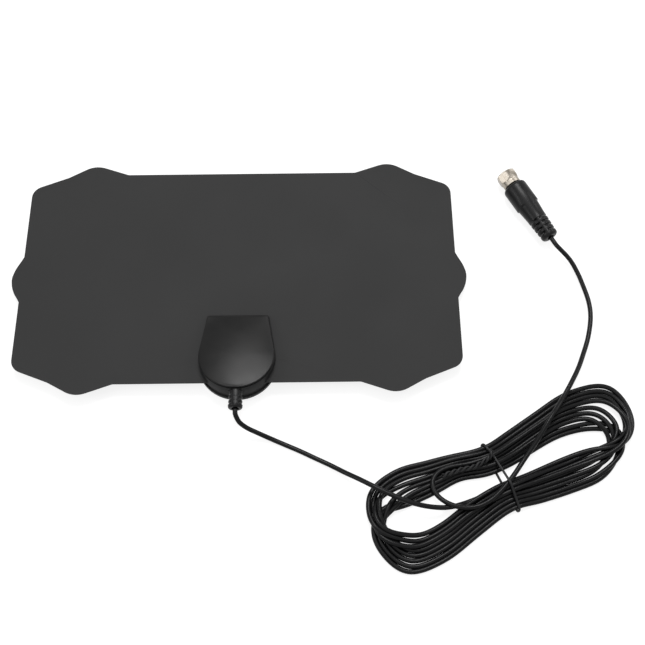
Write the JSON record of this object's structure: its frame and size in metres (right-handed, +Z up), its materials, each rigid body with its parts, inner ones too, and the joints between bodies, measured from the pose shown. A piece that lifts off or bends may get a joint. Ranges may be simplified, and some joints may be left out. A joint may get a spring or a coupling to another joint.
{
  "type": "indoor tv antenna",
  "caption": "Flat indoor television antenna: a matte black film panel with shaped edges, a wedge housing on one long edge, and a tied coaxial lead with a screw-on plug.",
  "frame": {"origin": "on the table, under the middle of the antenna and its housing in plan", "axes": "+X along the film's long edge, to the side where the plug lies; +Y across the film, away from the housing; +Z up from the table"},
  "size_m": [0.3609, 0.2558, 0.019],
  "materials": {
    "black_film": "matte",
    "aluminium_foil": "bright foil",
    "housing_plastic": "fine satin",
    "screw_steel": "blackened",
    "rivet_brass": "plain",
    "board_laminate": "lacquered",
    "ferrite": "fired, dull",
    "copper_wire": "enamelled",
    "lead_jacket": "glossy",
    "white_dielectric": "waxy",
    "tinned_braid": "tinned",
    "moulded_vinyl": "satin",
    "tie_vinyl": "satin",
    "plated_metal": "nickel plated"
  },
  "bodies": {
    "antenna": {"front_film": "black_film", "back_film": "black_film", "left_element": "aluminium_foil", "right_element": "aluminium_foil", "housing_cover": "housing_plastic", "housing_base": "housing_plastic", "housing_screws": "screw_steel", "contact_rivets": "rivet_brass", "circuit_board": "board_laminate", "balun_core": "ferrite", "balun_winding": "copper_wire", "cable_end_in_housing": "lead_jacket", "cable_dielectric": "white_dielectric", "cable_conductor": "copper_wire", "braid_tail": "tinned_braid", "strain_relief": "moulded_vinyl", "lead_from_housing": "lead_jacket", "hank": "lead_jacket", "lead_to_plug": "lead_jacket", "twist_tie": "tie_vinyl", "plug_boot": "moulded_vinyl", "cable_end_in_plug": "lead_jacket", "plug_body": "plated_metal", "plug_insulator": "white_dielectric", "plug_pin": "copper_wire"},
    "coupling_nut": {"plug_nut": "plated_metal"}
  },
  "joints": [
    {"name": "nut_spin", "type": "hinge", "parent": "antenna", "child": "coupling_nut", "pos_m": [0.16494, 0.0658, 0.0073], "axis": [-0.4848, 0.8746, 0], "continuous": true}
  ]
}
